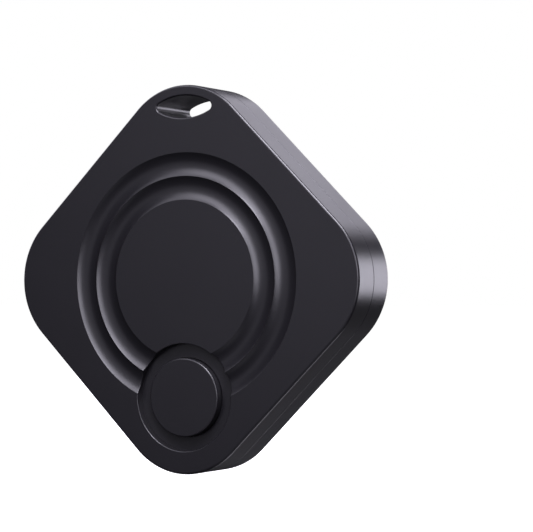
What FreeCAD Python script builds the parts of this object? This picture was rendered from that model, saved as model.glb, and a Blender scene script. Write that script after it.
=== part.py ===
import FreeCAD, Part
import math
import os

from FreeCAD import Matrix, Vector

# A square tracker tag that hangs by one corner, split into two shells at mid thickness.
# Sizes are in millimetres. The pieces are drawn flat: x to the right, y up to the hanging
# corner, z out of the front face, with the middle of the rings at mid thickness as zero.
# place() then stands the tag up: front towards -Y, hanging corner up, and the middle of
# the lanyard slot at the origin.

# ---- case ----
SIDE = 40.0                 # across the flats of the square
CORNER_RADIUS = 9.7
THICKNESS = 8.3
SIDE_WALL = 1.4
FRONT_WALL = 1.5
REAR_WALL = 1.2
EDGE_RADIUS = 0.3           # rounding of the front and rear edges
SEAM_RADIUS = 0.08          # rounding on each side of the parting line
POST_WIDTH = 1.2            # the two posts that stand under the switch
POST_LENGTH = 2.4

# ---- ring troughs in the front face ----
OUTER_RING_RADIUS = 15.85
RIDGE_RADIUS = 12.9
DISC_RADIUS = 9.95
TROUGH_DEPTH = 0.5

# ---- button and its well ----
BUTTON_Y = -14.7
BUTTON_RADIUS = 4.9
BUTTON_EDGE_RADIUS = 0.2
BUTTON_TRAVEL = 0.25        # the snap dome under the plunger rises as much
BUTTON_SKIN = 1.0
BUTTON_STUD_RADIUS = 1.6    # the stud inside the button, on the plunger
WELL_RADIUS = 6.7
WELL_DEPTH = 1.1
WELL_FLOOR = 0.8
WELL_WALL = 0.8
FLANGE_OVERLAP = 0.7        # how far the button's flange reaches past its hole
FLANGE_THICKNESS = 0.5

# ---- lanyard slot ----
SLOT_Y = 21.54
SLOT_HALF_WIDTH = 3.92
SLOT_HALF_HEIGHT = 1.41
SLOT_TIP_RADIUS = 0.6
SLOT_WALL = 0.9
SLOT_EDGE_RADIUS = 0.2

# ---- lip and seal at the parting line ----
LIP_HEIGHT = 1.0
LIP_THICKNESS = 0.6
SEAL_HEIGHT = 0.4
SEAL_SIDE_GAP = 0.04

# ---- clearances ----
FIT_GAP = 0.08              # lip in its rebate, button in its hole
LOOSE_GAP = 0.3             # pieces that must not touch
CONTACT_GAP = 0.02          # pieces that rest on each other

# ---- drawing allowances ----
RUN_IN = 0.1                # how far two shapes overlap before they are joined
PAST = 1.0                  # how far a cutting shape runs past what it cuts
NEAR = 1e-3                 # how close to a line or level still counts as on it

# ---- circuit board ----
BOARD_THICKNESS = 0.8
RADIO_CHIP = (5.0, 5.0, 0.85)           # width, length, height
MAIN_CRYSTAL = (2.0, 2.5, 0.6)
SLEEP_CRYSTAL = (1.5, 3.2, 0.8)
CHIP_ANTENNA = (2.0, 5.0, 1.1)
INDUCTOR = (3.0, 3.0, 1.3)
INDUCTOR_CHAMFER = 0.4
TRANSISTOR = (1.3, 2.9, 1.0)
CAPACITOR = (1.0, 0.5, 0.5)
RESISTOR = (1.0, 0.5, 0.35)
PAD_RADIUS = 0.6
PAD_THICKNESS = 0.05
PAD_PLACES = (-4, -2, 0, 2, 4)

# ---- coin cell (a standard size, 20.0 x 3.2) ----
CELL_RADIUS = 10.0
CELL_HEIGHT = 3.2
CELL_RIM_DROP = 0.2         # the cap stands proud of the can's rim
CELL_SKIN = 0.25
CELL_CRIMP = 1.4            # from the can's side in to the cap
CELL_SEAT_GAP = 0.1
CELL_HOLE_GAP = 0.7         # from the cell to the edge of the hole in the board
CAN_RIM_ROUNDING = 0.5
CAN_BASE_ROUNDING = 0.3
CAN_MOUTH_GAP = 0.4
CAP_DEPTH = 1.0
CAP_ROUNDING = 0.2
GASKET_DEPTH = 1.2
GASKET_FOOT = 0.3
GASKET_INSET = 0.5
CATHODE_HEIGHT = 1.5
SEPARATOR_HEIGHT = 0.15
CATHODE_INSET = 0.7         # from the cap's side in to each layer
SEPARATOR_INSET = 0.6
ANODE_INSET = 0.8
SEAT_RIB = 0.8

# ---- tact switch ----
SWITCH_SIDE = 5.2
SWITCH_HEIGHT = 1.5         # board to the top of the plunger
SWITCH_BODY_HEIGHT = 1.0
SWITCH_COVER = 0.15
SWITCH_FLOOR = 0.3
SWITCH_POCKET_GAP = 0.2
TERMINAL_LENGTH = 0.8
TERMINAL_WIDTH = 0.7
PLUNGER_RADIUS = 1.0
PLUNGER_COLLAR = 0.3
DOME_RADIUS = 1.5
DOME_THICKNESS = 0.08

# ---- buzzer ----
BUZZER_RADIUS = 7.5
BUZZER_PLATE = 0.15
CERAMIC_RADIUS = 5.5
CERAMIC_THICKNESS = 0.15
BUZZER_RIB = 0.6
BUZZER_RIB_HEIGHT = 0.4
ADHESIVE_THICKNESS = 0.15

# ---- screws ----
SCREW_RADIUS = 0.7
SCREW_HEAD_RADIUS = 1.25
SCREW_HEAD_HEIGHT = 0.6
SCREW_BITE = 1.7            # how far a screw reaches into its boss
SCREW_HEAD_ROUNDING = 0.2
CROSS_LENGTH = 1.3
CROSS_WIDTH = 0.3
CROSS_DEPTH = 0.3
BOSS_RADIUS = 1.6
BOSS_SETBACK = 2.7          # from the lip's corner in to the nearest boss

# ---- sheet metal and wire ----
LEAF = 0.2
LEAF_WIDTH = 3.0
LEAF_RISE = 0.6             # how high the negative contact bridges over the board
LEAF_GRIP = 0.6             # how far below the can's rim the positive contacts press
LEAF_END = 0.3              # length of a contact's turned-out end
LEAF_FOOT = 2.4             # how far a contact's foot runs out over the board
NEGATIVE_TURN = 165
POSITIVE_TURNS = (20, 200)
WIRE_RADIUS = 0.2
WIRE_BEND = 0.6
WIRE_REACH = 1.8            # from the cell's hole out to where a wire meets the board
WIRE_STARTS = {"positive": 4.0, "negative": 6.6}
WIRE_TURNS = {"positive": 52, "negative": 72}
SOLDER_RADIUS = 0.55

# ---- levels that follow ----
FRONT = THICKNESS / 2
REAR = -THICKNESS / 2
FRONT_INNER = FRONT - FRONT_WALL
REAR_INNER = REAR + REAR_WALL
WELL_FLOOR_TOP = FRONT - WELL_DEPTH
WELL_UNDERSIDE = WELL_FLOOR_TOP - WELL_FLOOR
FLANGE_TOP = WELL_UNDERSIDE - CONTACT_GAP
FLANGE_BOTTOM = FLANGE_TOP - FLANGE_THICKNESS
PLUNGER_TOP = FLANGE_BOTTOM - CONTACT_GAP
BOARD_TOP = PLUNGER_TOP - SWITCH_HEIGHT
BOARD_BOTTOM = BOARD_TOP - BOARD_THICKNESS
SWITCH_TOP = BOARD_TOP + SWITCH_BODY_HEIGHT
SWITCH_COVER_BOTTOM = SWITCH_TOP - SWITCH_COVER
DOME_BASE = BOARD_TOP + SWITCH_FLOOR
DOME_TOP = DOME_BASE + BUTTON_TRAVEL
CELL_REAR = REAR_INNER + CELL_SEAT_GAP
CELL_FRONT = CELL_REAR + CELL_HEIGHT
CELL_RIM = CELL_FRONT - CELL_RIM_DROP
CELL_CAP_RADIUS = CELL_RADIUS - CELL_CRIMP
CELL_HOLE_RADIUS = CELL_RADIUS + CELL_HOLE_GAP
CELL_BORE_RADIUS = CELL_RADIUS - CELL_SKIN
CATHODE_BOTTOM = CELL_REAR + CELL_SKIN + CONTACT_GAP
SEPARATOR_BOTTOM = CATHODE_BOTTOM + CATHODE_HEIGHT + CONTACT_GAP
ANODE_BOTTOM = SEPARATOR_BOTTOM + SEPARATOR_HEIGHT + CONTACT_GAP
LEAF_TIP = CELL_RIM - LEAF_GRIP - LEAF_END
SEAT_TOP = LEAF_TIP - LOOSE_GAP / 2
RIB_BOTTOM = FRONT_INNER - BUZZER_RIB_HEIGHT
ADHESIVE_BOTTOM = RIB_BOTTOM - ADHESIVE_THICKNESS
PLATE_BOTTOM = ADHESIVE_BOTTOM - BUZZER_PLATE
CERAMIC_BOTTOM = PLATE_BOTTOM - CERAMIC_THICKNESS
WIRE_LEVEL = CERAMIC_BOTTOM - WIRE_RADIUS - CONTACT_GAP
WIRE_OUT = CELL_HOLE_RADIUS + WIRE_REACH
HALF_DIAGONAL = (SIDE / 2 - SIDE_WALL) * math.sqrt(2) - (CORNER_RADIUS - SIDE_WALL) * (math.sqrt(2) - 1)
BOSS_REACH = HALF_DIAGONAL - LOOSE_GAP - LIP_THICKNESS - BOSS_RADIUS - BOSS_SETBACK
BOSS_TOP_Y = (CELL_HOLE_RADIUS + SLOT_Y - SLOT_HALF_HEIGHT - SLOT_WALL) / 2
BOSS_PLACES = [(-BOSS_REACH, 0.0), (BOSS_REACH, 0.0), (0.0, BOSS_TOP_Y)]
MID_SIDE = (SIDE / 2 - SIDE_WALL + CELL_HOLE_RADIUS) / 2   # middle of the board's strip along a side


# ---- drawing helpers ----
def arc(first, middle, last):
    return Part.Arc(Vector(*first), Vector(*middle), Vector(*last)).toShape()


def line(first, last):
    return Part.LineSegment(Vector(*first), Vector(*last)).toShape()


def disc(radius, bottom, top, x=0.0, y=0.0):
    return Part.makeCylinder(radius, top - bottom, Vector(x, y, bottom))


def ring(outer, inner, bottom, top, x=0.0, y=0.0):
    return disc(outer, bottom, top, x, y).cut(disc(inner, bottom, top, x, y))


def block(width, length, bottom, top, x=0.0, y=0.0, turn=0.0):
    """A box centred at (x, y), turned about its own upright middle."""
    shape = Part.makeBox(width, length, top - bottom, Vector(-width / 2, -length / 2, bottom))
    shape.rotate(Vector(0, 0, 0), Vector(0, 0, 1), turn)
    shape.translate(Vector(x, y, 0))
    return shape


def rounded_square(inset, bottom, top):
    """The case's outline, moved in by inset, as a prism standing on one corner."""
    half = SIDE / 2 - inset
    radius = CORNER_RADIUS - inset
    shape = Part.makeBox(2 * half, 2 * half, top - bottom, Vector(-half, -half, bottom))
    upright = [edge for edge in shape.Edges if abs(edge.tangentAt(edge.FirstParameter).z) > 0.5]
    shape = shape.makeFillet(radius, upright)
    shape.rotate(Vector(0, 0, 0), Vector(0, 0, 1), 45)
    return shape


def slot(grow, bottom, top):
    """The eye-shaped slot, made larger all round by grow, as a prism."""
    half_width = SLOT_HALF_WIDTH + grow
    half_height = SLOT_HALF_HEIGHT + grow
    tip = SLOT_TIP_RADIUS + grow
    tip_x = half_width - tip
    # the long arcs touch the tip circles from outside them
    long_radius = (tip_x**2 + half_height**2 - tip**2) / (2 * (half_height - tip))
    long_y = half_height - long_radius
    scale = tip / (long_radius - tip)
    touch_x = tip_x * (1 + scale)
    touch_y = -long_y * scale
    edges = [
        arc((-touch_x, touch_y, bottom), (0, half_height, bottom), (touch_x, touch_y, bottom)),
        arc((touch_x, touch_y, bottom), (half_width, 0, bottom), (touch_x, -touch_y, bottom)),
        arc((touch_x, -touch_y, bottom), (0, -half_height, bottom), (-touch_x, -touch_y, bottom)),
        arc((-touch_x, -touch_y, bottom), (-half_width, 0, bottom), (-touch_x, touch_y, bottom)),
    ]
    shape = Part.Face(Part.Wire(edges)).extrude(Vector(0, 0, top - bottom))
    shape.translate(Vector(0, SLOT_Y, 0))
    return shape


def trough(outer, inner):
    """The round-bottomed channel between two radii, as the solid that cuts it."""
    middle = (outer + inner) / 2
    edges = [
        arc((inner, 0, FRONT), (middle, 0, FRONT - TROUGH_DEPTH), (outer, 0, FRONT)),
        line((outer, 0, FRONT), (outer, 0, FRONT + PAST)),
        line((outer, 0, FRONT + PAST), (inner, 0, FRONT + PAST)),
        line((inner, 0, FRONT + PAST), (inner, 0, FRONT)),
    ]
    face = Part.Face(Part.Wire(edges))
    return face.revolve(Vector(0, 0, 0), Vector(0, 0, 1), 360)


def leaf(points, width, turn=0.0, thickness=LEAF):
    """A bent strip: points are (distance out, height) along its middle, in one upright plane."""
    left = []
    right = []
    for i, (out, height) in enumerate(points):
        before = points[max(i - 1, 0)]
        after = points[min(i + 1, len(points) - 1)]
        first = Vector(out - before[0], height - before[1], 0)
        second = Vector(after[0] - out, after[1] - height, 0)
        first = first.normalize() if first.Length else second.normalize()
        second = second.normalize() if second.Length else first
        middle = (first + second).normalize()
        reach = thickness / 2 / max(middle.dot(first), 0.3)
        left.append(Vector(out - middle.y * reach, -width / 2, height + middle.x * reach))
        right.append(Vector(out + middle.y * reach, -width / 2, height - middle.x * reach))
    outline = left + right[::-1]
    shape = Part.Face(Part.makePolygon(outline + outline[:1])).extrude(Vector(0, width, 0))
    shape.rotate(Vector(0, 0, 0), Vector(0, 0, 1), turn)
    return shape


def edges_at(shape, height, keep):
    """The edges that lie flat at a height and whose middle passes keep(point)."""
    found = []
    for edge in shape.Edges:
        box = edge.BoundBox
        level = abs(box.ZMin - height) < NEAR and abs(box.ZMax - height) < NEAR
        if level and keep(edge.valueAt((edge.FirstParameter + edge.LastParameter) / 2)):
            found.append(edge)
    return found


def on_outline(point):
    """True on the case's outer outline."""
    along = (abs(point.x) + abs(point.y)) / math.sqrt(2)
    across = abs(abs(point.x) - abs(point.y)) / math.sqrt(2)
    bend = SIDE / 2 - CORNER_RADIUS
    if across <= bend:
        return along > SIDE / 2 - NEAR
    return math.hypot(along - bend, across - bend) > CORNER_RADIUS - NEAR


def on_slot(point):
    return abs(point.x) < SLOT_HALF_WIDTH + NEAR and abs(point.y - SLOT_Y) < SLOT_HALF_HEIGHT + NEAR


def place(shape):
    """Stands the flat drawing up: z goes to -Y, y goes to +Z, and the slot's middle to the origin."""
    shape.transformShape(Matrix(1, 0, 0, 0, 0, 0, -1, 0, 0, 1, 0, -SLOT_Y, 0, 0, 0, 1))
    return shape


# ---- case pieces ----
def slot_keepout(grow, bottom, top):
    """What the inside of the case leaves solid round the slot."""
    return slot(SLOT_WALL + grow, bottom, top)


def front_shell():
    shell = rounded_square(0, 0, FRONT)
    cavity = rounded_square(SIDE_WALL, -PAST, FRONT_INNER)
    shell = shell.cut(cavity.cut(slot_keepout(0, -PAST, FRONT_INNER)))
    for inside in (front_well(), buzzer_rib(), *board_bosses()):
        shell = shell.fuse(inside)
    shell = shell.cut(trough(OUTER_RING_RADIUS, RIDGE_RADIUS))
    shell = shell.cut(trough(RIDGE_RADIUS, DISC_RADIUS))
    shell = shell.cut(disc(WELL_RADIUS, WELL_FLOOR_TOP, FRONT + PAST, 0, BUTTON_Y))
    shell = shell.cut(disc(BUTTON_RADIUS + FIT_GAP, WELL_UNDERSIDE - PAST, FRONT + PAST, 0, BUTTON_Y))
    shell = shell.cut(slot(0, -PAST, FRONT + PAST))
    shell = shell.cut(lip_rebate())
    for x, y in BOSS_PLACES:
        hole_end = BOARD_TOP + SCREW_BITE + LOOSE_GAP
        shell = shell.cut(disc(SCREW_RADIUS + CONTACT_GAP, BOARD_TOP - PAST, hole_end, x, y))
    return soften(shell.removeSplitter(), FRONT)


def front_well():
    """The thick pad behind the button's well, kept inside the case's walls."""
    top = FRONT_INNER + RUN_IN
    pad = disc(WELL_RADIUS + WELL_WALL, WELL_UNDERSIDE, top, 0, BUTTON_Y)
    return pad.common(rounded_square(SIDE_WALL / 2, WELL_UNDERSIDE, top))


def buzzer_rib():
    return ring(BUZZER_RADIUS, BUZZER_RADIUS - BUZZER_RIB, RIB_BOTTOM, FRONT_INNER + RUN_IN)


def board_bosses():
    return [disc(BOSS_RADIUS, BOARD_TOP, FRONT_INNER + RUN_IN, x, y) for x, y in BOSS_PLACES]


def lip_rebate():
    """The step inside the front shell's wall that takes the rear shell's lip and the seal."""
    top = LIP_HEIGHT + SEAL_HEIGHT
    rebate = rounded_square(SIDE_WALL - LIP_THICKNESS - FIT_GAP, -PAST, top)
    rebate = rebate.cut(rounded_square(SIDE_WALL + CONTACT_GAP / 2, -2 * PAST, top + PAST))
    return rebate.cut(slot_keepout(0, -2 * PAST, FRONT))


def soften(shell, face):
    """Rounds the outer edge and the slot's rim at a face, and the edge at the parting line."""
    shell = shell.makeFillet(EDGE_RADIUS, edges_at(shell, face, on_outline))
    shell = shell.makeFillet(SLOT_EDGE_RADIUS, edges_at(shell, face, on_slot))
    return shell.makeFillet(SEAM_RADIUS, edges_at(shell, 0, on_outline))


def rear_shell():
    shell = rounded_square(0, REAR, 0)
    lip = rounded_square(SIDE_WALL - LIP_THICKNESS, -PAST / 2, LIP_HEIGHT)
    shell = shell.fuse(lip.cut(slot_keepout(FIT_GAP, -PAST, LIP_HEIGHT + PAST)))
    cavity = rounded_square(SIDE_WALL, REAR_INNER, LIP_HEIGHT + PAST)
    shell = shell.cut(cavity.cut(slot_keepout(0, REAR_INNER, 0)))
    for inside in (cell_seat(), *switch_posts()):
        shell = shell.fuse(inside)
    shell = shell.cut(slot(0, REAR - PAST, PAST))
    return soften(shell.removeSplitter(), REAR)


def cell_seat():
    """The ring rib that keeps the cell in the middle."""
    inner = CELL_RADIUS + LOOSE_GAP
    return ring(inner + SEAT_RIB, inner, REAR_INNER - RUN_IN, SEAT_TOP)


def switch_posts():
    """Two posts that bear the board up against the push of a finger."""
    low, top = REAR_INNER - RUN_IN, BOARD_BOTTOM - CONTACT_GAP
    x, y = SWITCH_SIDE / 2, BUTTON_Y - SWITCH_SIDE / 4
    return [block(POST_WIDTH, POST_LENGTH, low, top, side * x, y) for side in (-1, 1)]


def shell_seal():
    bottom = LIP_HEIGHT + CONTACT_GAP
    top = LIP_HEIGHT + SEAL_HEIGHT - CONTACT_GAP
    outer = SIDE_WALL - LIP_THICKNESS - FIT_GAP + SEAL_SIDE_GAP
    band = rounded_square(outer, bottom, top).cut(rounded_square(SIDE_WALL, bottom - PAST, top + PAST))
    return band.cut(slot_keepout(LOOSE_GAP, bottom - PAST, top + PAST))


# ---- button and switch ----
def button_cap():
    cap = disc(BUTTON_RADIUS, FLANGE_BOTTOM, FRONT, 0, BUTTON_Y)
    cap = cap.makeFillet(BUTTON_EDGE_RADIUS, edges_at(cap, FRONT, lambda point: True))
    flange_radius = BUTTON_RADIUS + FIT_GAP + FLANGE_OVERLAP
    cap = cap.fuse(disc(flange_radius, FLANGE_BOTTOM, FLANGE_TOP, 0, BUTTON_Y))
    hollow = ring(BUTTON_RADIUS - BUTTON_SKIN, BUTTON_STUD_RADIUS, FLANGE_BOTTOM - PAST, WELL_FLOOR_TOP, 0, BUTTON_Y)
    return cap.cut(hollow).removeSplitter()


def switch_housing():
    body = block(SWITCH_SIDE, SWITCH_SIDE, BOARD_TOP, SWITCH_COVER_BOTTOM, 0, BUTTON_Y)
    return body.cut(disc(DOME_RADIUS + SWITCH_POCKET_GAP, DOME_BASE, SWITCH_TOP, 0, BUTTON_Y))


def switch_cover():
    plate = block(SWITCH_SIDE, SWITCH_SIDE, SWITCH_COVER_BOTTOM, SWITCH_TOP, 0, BUTTON_Y)
    hole = disc(PLUNGER_RADIUS + FIT_GAP, SWITCH_COVER_BOTTOM - PAST, SWITCH_TOP + PAST, 0, BUTTON_Y)
    return plate.cut(hole)


def switch_plunger():
    """A stem with a collar that the cover holds in, resting on the dome."""
    bottom = DOME_TOP + CONTACT_GAP
    stem = disc(PLUNGER_RADIUS, bottom, PLUNGER_TOP, 0, BUTTON_Y)
    collar = disc(PLUNGER_RADIUS + PLUNGER_COLLAR, bottom, SWITCH_COVER_BOTTOM - CONTACT_GAP, 0, BUTTON_Y)
    return stem.fuse(collar)


def switch_dome():
    """A thin snap dome, part of a sphere, on the floor of the housing's pocket."""
    rise = DOME_TOP - DOME_BASE
    radius = (DOME_RADIUS**2 + rise**2) / (2 * rise)
    middle = Vector(0, BUTTON_Y, DOME_TOP - radius)
    dome = Part.makeSphere(radius, middle).cut(Part.makeSphere(radius - DOME_THICKNESS, middle))
    return dome.common(disc(DOME_RADIUS + RUN_IN, DOME_BASE + CONTACT_GAP, DOME_TOP + PAST, 0, BUTTON_Y))


def switch_terminals():
    legs = []
    for side_x in (-1, 1):
        for side_y in (-1, 1):
            x = side_x * (SWITCH_SIDE + TERMINAL_LENGTH) / 2
            y = BUTTON_Y + side_y * SWITCH_SIDE / 4
            legs.append(block(TERMINAL_LENGTH, TERMINAL_WIDTH, BOARD_TOP, BOARD_TOP + LEAF, x, y))
    return Part.makeCompound(legs)


# ---- board and what is soldered to it ----
def circuit_board():
    low, high = BOARD_BOTTOM - PAST, BOARD_TOP + PAST
    board = rounded_square(SIDE_WALL + LOOSE_GAP, BOARD_BOTTOM, BOARD_TOP)
    board = board.cut(slot_keepout(LOOSE_GAP, low, high))
    board = board.cut(disc(CELL_HOLE_RADIUS, low, high))
    for x, y in BOSS_PLACES:
        board = board.cut(disc(SCREW_RADIUS + FIT_GAP, low, high, x, y))
    return board


def board_screw(x, y):
    """A pan head with a cross cut in it, and a shank up into the boss."""
    head_bottom = BOARD_BOTTOM - SCREW_HEAD_HEIGHT
    head = disc(SCREW_HEAD_RADIUS, head_bottom, BOARD_BOTTOM, x, y)
    head = head.makeFillet(SCREW_HEAD_ROUNDING, edges_at(head, head_bottom, lambda point: True))
    for turn in (0, 90):
        bar = block(CROSS_LENGTH, CROSS_WIDTH, head_bottom - PAST, head_bottom + CROSS_DEPTH, x, y, turn)
        head = head.cut(bar)
    return head.fuse(disc(SCREW_RADIUS, BOARD_BOTTOM, BOARD_TOP + SCREW_BITE, x, y))


def board_screws():
    return Part.makeCompound([board_screw(x, y) for x, y in BOSS_PLACES])


def board_spot(angle, along, inset=0.0):
    """(x, y, turn) on the board's strip beside the side whose middle is at angle."""
    out = MID_SIDE - inset
    turn = math.radians(angle)
    x = out * math.cos(turn) - along * math.sin(turn)
    y = out * math.sin(turn) + along * math.cos(turn)
    return x, y, angle


def chip(size, spot):
    """A surface-mount part standing on the board."""
    width, length, height = size
    x, y, turn = spot
    return block(width, length, BOARD_TOP, BOARD_TOP + height, x, y, turn)


# Where the parts stand: the side of the board, the place along it, and the step in towards the cell.
CAPACITOR_SPOTS = [(225, 3.2, 1.2), (225, 3.2, -0.6), (225, 3.2, -2.2), (225, -2.9, 2.4), (135, -2.4, 0.0),
                   (135, -4.0, 0.0), (45, 2.6, 1.6), (45, 4.2, 1.6), (315, -1.6, 0.0), (315, 0.0, 0.0)]
RESISTOR_SPOTS = [(135, -2.4, 1.8), (135, -4.0, 1.8), (45, 2.6, -0.6), (45, 4.2, -0.6), (315, 1.6, 0.0),
                  (315, 3.2, 0.0)]


def radio_chip():
    return chip(RADIO_CHIP, board_spot(225, 0))


def main_crystal():
    return chip(MAIN_CRYSTAL, board_spot(225, -4.6))


def sleep_crystal():
    return chip(SLEEP_CRYSTAL, board_spot(225, 5.6))


def chip_antenna():
    return chip(CHIP_ANTENNA, board_spot(135, 1.5, -2.2))


def buzzer_inductor():
    coil = chip(INDUCTOR, board_spot(45, 0))
    return coil.makeChamfer(INDUCTOR_CHAMFER, [edge for edge in coil.Edges if edge.BoundBox.ZLength > NEAR])


def buzzer_transistor():
    return chip(TRANSISTOR, board_spot(45, -4.2))


def capacitors():
    return Part.makeCompound([chip(CAPACITOR, board_spot(*spot)) for spot in CAPACITOR_SPOTS])


def resistors():
    return Part.makeCompound([chip(RESISTOR, board_spot(*spot)) for spot in RESISTOR_SPOTS])


def test_pads():
    """Flat programming contacts on the rear of the board."""
    pads = []
    for along in PAD_PLACES:
        x, y, turn = board_spot(315, along)
        pads.append(disc(PAD_RADIUS, BOARD_BOTTOM - PAD_THICKNESS, BOARD_BOTTOM, x, y))
    return Part.makeCompound(pads)


def negative_contact():
    """A sprung strip soldered to the board that reaches in over the cell's cap and dips to touch it."""
    foot = BOARD_TOP + LEAF / 2
    over = foot + LEAF_RISE
    touch = CELL_FRONT + LEAF / 2 + CONTACT_GAP
    hole = CELL_HOLE_RADIUS
    points = [(hole + LEAF_FOOT, foot), (hole + 0.5, foot), (hole - 0.4, over),
              (4.5, over), (2.8, touch), (1.2, touch), (0.4, touch + LEAF_END)]
    return leaf(points, LEAF_WIDTH, NEGATIVE_TURN)


def positive_contacts():
    """Two bent tabs, soldered to the board, that press on the side of the cell's can."""
    beside = CELL_RADIUS + LEAF / 2 + CONTACT_GAP
    foot = BOARD_TOP + LEAF / 2
    grip = CELL_RIM - LEAF_GRIP
    points = [(CELL_HOLE_RADIUS + LEAF_FOOT, foot), (beside + 0.25, foot), (beside + 0.15, foot - LEAF_END),
              (beside, grip), (beside + LEAF, LEAF_TIP)]
    return Part.makeCompound([leaf(points, LEAF_WIDTH, turn) for turn in POSITIVE_TURNS])


# ---- coin cell ----
def cell_can():
    can = disc(CELL_RADIUS, CELL_REAR, CELL_RIM)
    can = can.makeFillet(CAN_RIM_ROUNDING, edges_at(can, CELL_RIM, lambda point: True))
    can = can.makeFillet(CAN_BASE_ROUNDING, edges_at(can, CELL_REAR, lambda point: True))
    bore = disc(CELL_BORE_RADIUS, CELL_REAR + CELL_SKIN, CELL_RIM - CELL_SKIN)
    mouth = disc(CELL_CAP_RADIUS + CAN_MOUTH_GAP, CELL_REAR + PAST, CELL_RIM + PAST)
    return can.cut(bore).cut(mouth)


def cell_cap():
    cap = disc(CELL_CAP_RADIUS, CELL_RIM - CAP_DEPTH, CELL_FRONT)
    cap = cap.makeFillet(CAP_ROUNDING, edges_at(cap, CELL_FRONT, lambda point: True))
    return cap.cut(disc(CELL_CAP_RADIUS - CELL_SKIN, CELL_RIM - CAP_DEPTH - PAST, CELL_FRONT - CELL_SKIN))


def cell_gasket():
    """Fills the gap between the cap and the can, and turns in under the cap's edge."""
    low = CELL_RIM - GASKET_DEPTH
    cap_side = CELL_CAP_RADIUS + CONTACT_GAP
    foot = ring(CELL_BORE_RADIUS - CONTACT_GAP, CELL_CAP_RADIUS - GASKET_INSET, low,
                CELL_RIM - CELL_SKIN - CONTACT_GAP)
    foot = foot.cut(disc(cap_side, CELL_RIM - CAP_DEPTH - CONTACT_GAP, CELL_FRONT + PAST))
    lip = ring(CELL_CAP_RADIUS + CAN_MOUTH_GAP - CONTACT_GAP, cap_side, low + GASKET_FOOT,
               CELL_RIM - CELL_SKIN / 4)
    return foot.fuse(lip)


def cell_cathode():
    return disc(CELL_CAP_RADIUS - CATHODE_INSET, CATHODE_BOTTOM, CATHODE_BOTTOM + CATHODE_HEIGHT)


def cell_separator():
    return disc(CELL_CAP_RADIUS - SEPARATOR_INSET, SEPARATOR_BOTTOM, SEPARATOR_BOTTOM + SEPARATOR_HEIGHT)


def cell_anode():
    return disc(CELL_CAP_RADIUS - ANODE_INSET, ANODE_BOTTOM, CELL_FRONT - CELL_SKIN - CONTACT_GAP)


# ---- buzzer ----
def buzzer_adhesive():
    return ring(BUZZER_RADIUS, BUZZER_RADIUS - BUZZER_RIB, ADHESIVE_BOTTOM, RIB_BOTTOM)


def buzzer_plate():
    return disc(BUZZER_RADIUS, PLATE_BOTTOM, ADHESIVE_BOTTOM)


def buzzer_ceramic():
    return disc(CERAMIC_RADIUS, CERAMIC_BOTTOM, PLATE_BOTTOM)


def buzzer_wire(name):
    """A thin insulated wire: out over the cell, then down to the board."""
    low = BOARD_TOP + CONTACT_GAP
    corner = WIRE_BEND * (1 - math.sqrt(0.5))
    start = (WIRE_STARTS[name], 0, WIRE_LEVEL)
    path = Part.Wire([
        line(start, (WIRE_OUT - WIRE_BEND, 0, WIRE_LEVEL)),
        arc((WIRE_OUT - WIRE_BEND, 0, WIRE_LEVEL), (WIRE_OUT - corner, 0, WIRE_LEVEL - corner),
            (WIRE_OUT, 0, WIRE_LEVEL - WIRE_BEND)),
        line((WIRE_OUT, 0, WIRE_LEVEL - WIRE_BEND), (WIRE_OUT, 0, low)),
    ])
    section = Part.Wire(Part.makeCircle(WIRE_RADIUS, Vector(*start), Vector(1, 0, 0)))
    tube = path.makePipeShell([section], True, False)
    tube.rotate(Vector(0, 0, 0), Vector(0, 0, 1), WIRE_TURNS[name])
    return tube


def solder_joints():
    """Rounded solder where each wire meets the board, set round the wire's end."""
    joints = []
    for turn in WIRE_TURNS.values():
        joint = Part.makeSphere(SOLDER_RADIUS, Vector(WIRE_OUT, 0, BOARD_TOP))
        joint = joint.common(disc(SOLDER_RADIUS, BOARD_TOP, BOARD_TOP + PAST, WIRE_OUT, 0))
        joint = joint.cut(disc(WIRE_RADIUS + CONTACT_GAP, BOARD_TOP - PAST, BOARD_TOP + PAST, WIRE_OUT, 0))
        joint.rotate(Vector(0, 0, 0), Vector(0, 0, 1), turn)
        joints.append(joint)
    return Part.makeCompound(joints)


PIECES = {
    "front_shell": front_shell,
    "rear_shell": rear_shell,
    "shell_seal": shell_seal,
    "button_cap": button_cap,
    "switch_housing": switch_housing,
    "switch_cover": switch_cover,
    "switch_plunger": switch_plunger,
    "switch_dome": switch_dome,
    "switch_terminals": switch_terminals,
    "circuit_board": circuit_board,
    "board_screws": board_screws,
    "radio_chip": radio_chip,
    "main_crystal": main_crystal,
    "sleep_crystal": sleep_crystal,
    "chip_antenna": chip_antenna,
    "buzzer_inductor": buzzer_inductor,
    "buzzer_transistor": buzzer_transistor,
    "capacitors": capacitors,
    "resistors": resistors,
    "test_pads": test_pads,
    "negative_contact": negative_contact,
    "positive_contacts": positive_contacts,
    "cell_can": cell_can,
    "cell_cap": cell_cap,
    "cell_gasket": cell_gasket,
    "cell_cathode": cell_cathode,
    "cell_separator": cell_separator,
    "cell_anode": cell_anode,
    "buzzer_adhesive": buzzer_adhesive,
    "buzzer_plate": buzzer_plate,
    "buzzer_ceramic": buzzer_ceramic,
    "buzzer_wire_positive": lambda: buzzer_wire("positive"),
    "buzzer_wire_negative": lambda: buzzer_wire("negative"),
    "solder_joints": solder_joints,
}

os.makedirs("parts", exist_ok=True)
for node, make in PIECES.items():
    place(make()).exportStep(f"parts/{node}.step")
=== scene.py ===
import math

import bpy
import numpy as np
from mathutils import Matrix, Vector
from mathutils.geometry import delaunay_2d_cdt


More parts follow.
